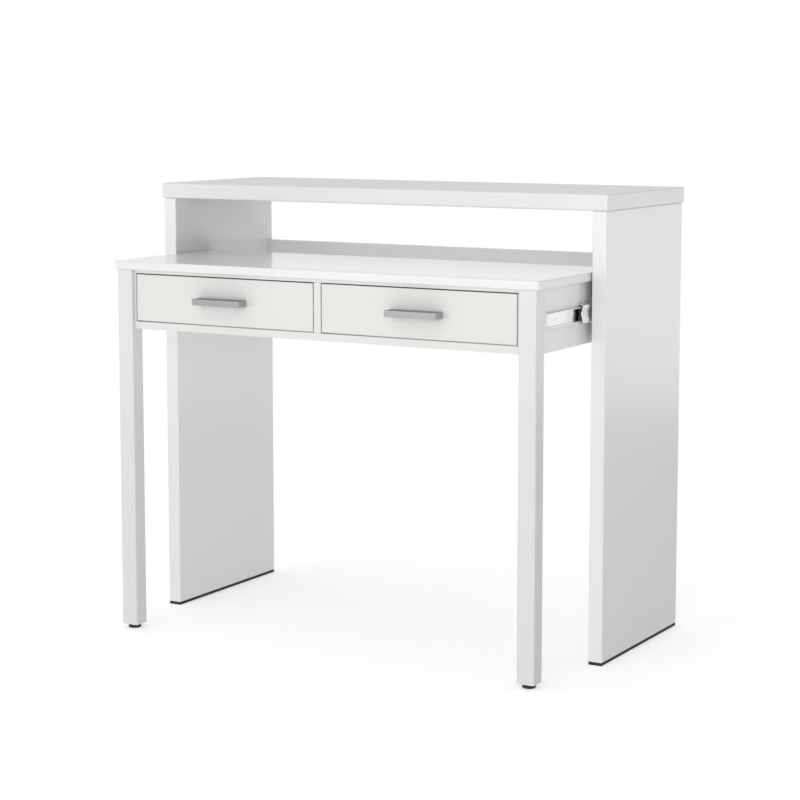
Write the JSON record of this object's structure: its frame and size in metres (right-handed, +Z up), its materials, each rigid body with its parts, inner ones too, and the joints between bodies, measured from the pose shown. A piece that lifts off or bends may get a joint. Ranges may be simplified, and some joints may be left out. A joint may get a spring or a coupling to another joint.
{
  "type": "secretary desk",
  "caption": "White console table with a writing desk that pulls out from under its top on telescopic slides, with drawers and bar handles in the desk front.",
  "frame": {"origin": "centre of the footprint on the floor, with the desk part of the way out", "axes": "+X along the width, -Y to the person sitting at it, +Y to the wall, +Z up"},
  "size_m": [0.986, 0.583, 0.87],
  "materials": {
    "ball_steel": "polished bearing steel",
    "beech_dowel": "plain beech, fluted",
    "bracket_steel": "zinc-plated steel",
    "cage_plastic": "black matt plastic",
    "cam_zinc": "die-cast zinc",
    "console_lacquer": "white lacquered board, semi-gloss",
    "desk_lacquer": "white lacquered board, semi-gloss",
    "drawer_board": "white melamine-faced board, matt",
    "foot_plastic": "black matt plastic",
    "frame_lacquer": "off-white lacquered board, satin",
    "front_lacquer": "off-white lacquered board, satin",
    "glide_plastic": "dark matt plastic",
    "handle_metal": "satin nickel",
    "screw_steel": "zinc-plated steel",
    "slide_zinc": "bright zinc-plated steel",
    "stop_plastic": "black matt plastic"
  },
  "bodies": {
    "console": {"back_rail": "console_lacquer", "console_side_left": "console_lacquer", "console_side_right": "console_lacquer", "console_top": "console_lacquer", "glide_strip_left": "glide_plastic", "glide_strip_right": "glide_plastic", "panel_dowels": "beech_dowel", "rail_cam_bolts": "cam_zinc", "rail_cams": "cam_zinc", "slide_outer_left": "slide_zinc", "slide_outer_right": "slide_zinc", "slide_panel_screws": "screw_steel"},
    "desk": {"back_apron": "desk_lacquer", "centre_partition": "frame_lacquer", "desktop": "desk_lacquer", "desktop_brackets": "bracket_steel", "desktop_screws": "screw_steel", "drawer_fixed_runners": "slide_zinc", "foot_left": "foot_plastic", "foot_right": "foot_plastic", "frame_dowels": "beech_dowel", "front_bottom_rail": "frame_lacquer", "front_top_rail": "frame_lacquer", "leg_left": "desk_lacquer", "leg_right": "desk_lacquer", "runner_batten_left": "desk_lacquer", "runner_batten_right": "desk_lacquer", "side_apron_left": "desk_lacquer", "side_apron_right": "desk_lacquer", "slide_apron_screws": "screw_steel", "slide_inner_left": "slide_zinc", "slide_inner_right": "slide_zinc", "stile_left": "frame_lacquer", "stile_right": "frame_lacquer"},
    "slide_middle_left": {"slide_middle_left": "slide_zinc", "slide_stop_left": "stop_plastic"},
    "slide_middle_right": {"slide_middle_right": "slide_zinc", "slide_stop_right": "stop_plastic"},
    "slide_outer_cages": {"slide_outer_balls": "ball_steel", "slide_outer_cages": "cage_plastic"},
    "slide_inner_cages": {"slide_inner_balls": "ball_steel", "slide_inner_cages": "cage_plastic"},
    "drawer_left": {"drawer_left_back": "drawer_board", "drawer_left_bottom": "drawer_board", "drawer_left_front": "front_lacquer", "drawer_left_handle": "handle_metal", "drawer_left_handle_screws": "screw_steel", "drawer_left_runners": "slide_zinc", "drawer_left_side_left": "drawer_board", "drawer_left_side_right": "drawer_board"},
    "drawer_right": {"drawer_right_back": "drawer_board", "drawer_right_bottom": "drawer_board", "drawer_right_front": "front_lacquer", "drawer_right_handle": "handle_metal", "drawer_right_handle_screws": "screw_steel", "drawer_right_runners": "slide_zinc", "drawer_right_side_left": "drawer_board", "drawer_right_side_right": "drawer_board"}
  },
  "joints": [
    {"name": "desk_pull", "type": "slide", "parent": "console", "child": "desk", "axis": [0, -1, 0], "range_m": [-0.207, 0.083]},
    {"name": "slide_middle_left_run", "type": "slide", "parent": "console", "child": "slide_middle_left", "axis": [0, -1, 0], "range_m": [-0.1035, 0.0415]},
    {"name": "slide_middle_right_run", "type": "slide", "parent": "console", "child": "slide_middle_right", "axis": [0, -1, 0], "range_m": [-0.1035, 0.0415]},
    {"name": "slide_outer_cages_run", "type": "slide", "parent": "console", "child": "slide_outer_cages", "axis": [0, -1, 0], "range_m": [-0.05175, 0.02075]},
    {"name": "slide_inner_cages_run", "type": "slide", "parent": "console", "child": "slide_inner_cages", "axis": [0, -1, 0], "range_m": [-0.15525, 0.06225]},
    {"name": "drawer_left_pull", "type": "slide", "parent": "desk", "child": "drawer_left", "axis": [0, -1, 0], "range_m": [0, 0.185]},
    {"name": "drawer_right_pull", "type": "slide", "parent": "desk", "child": "drawer_right", "axis": [0, -1, 0], "range_m": [0, 0.185]}
  ],
  "couplings": [
    {"joint": "slide_middle_left_run", "follows": "desk_pull", "ratio": 0.5},
    {"joint": "slide_middle_right_run", "follows": "desk_pull", "ratio": 0.5},
    {"joint": "slide_outer_cages_run", "follows": "desk_pull", "ratio": 0.25},
    {"joint": "slide_inner_cages_run", "follows": "desk_pull", "ratio": 0.75}
  ]
}
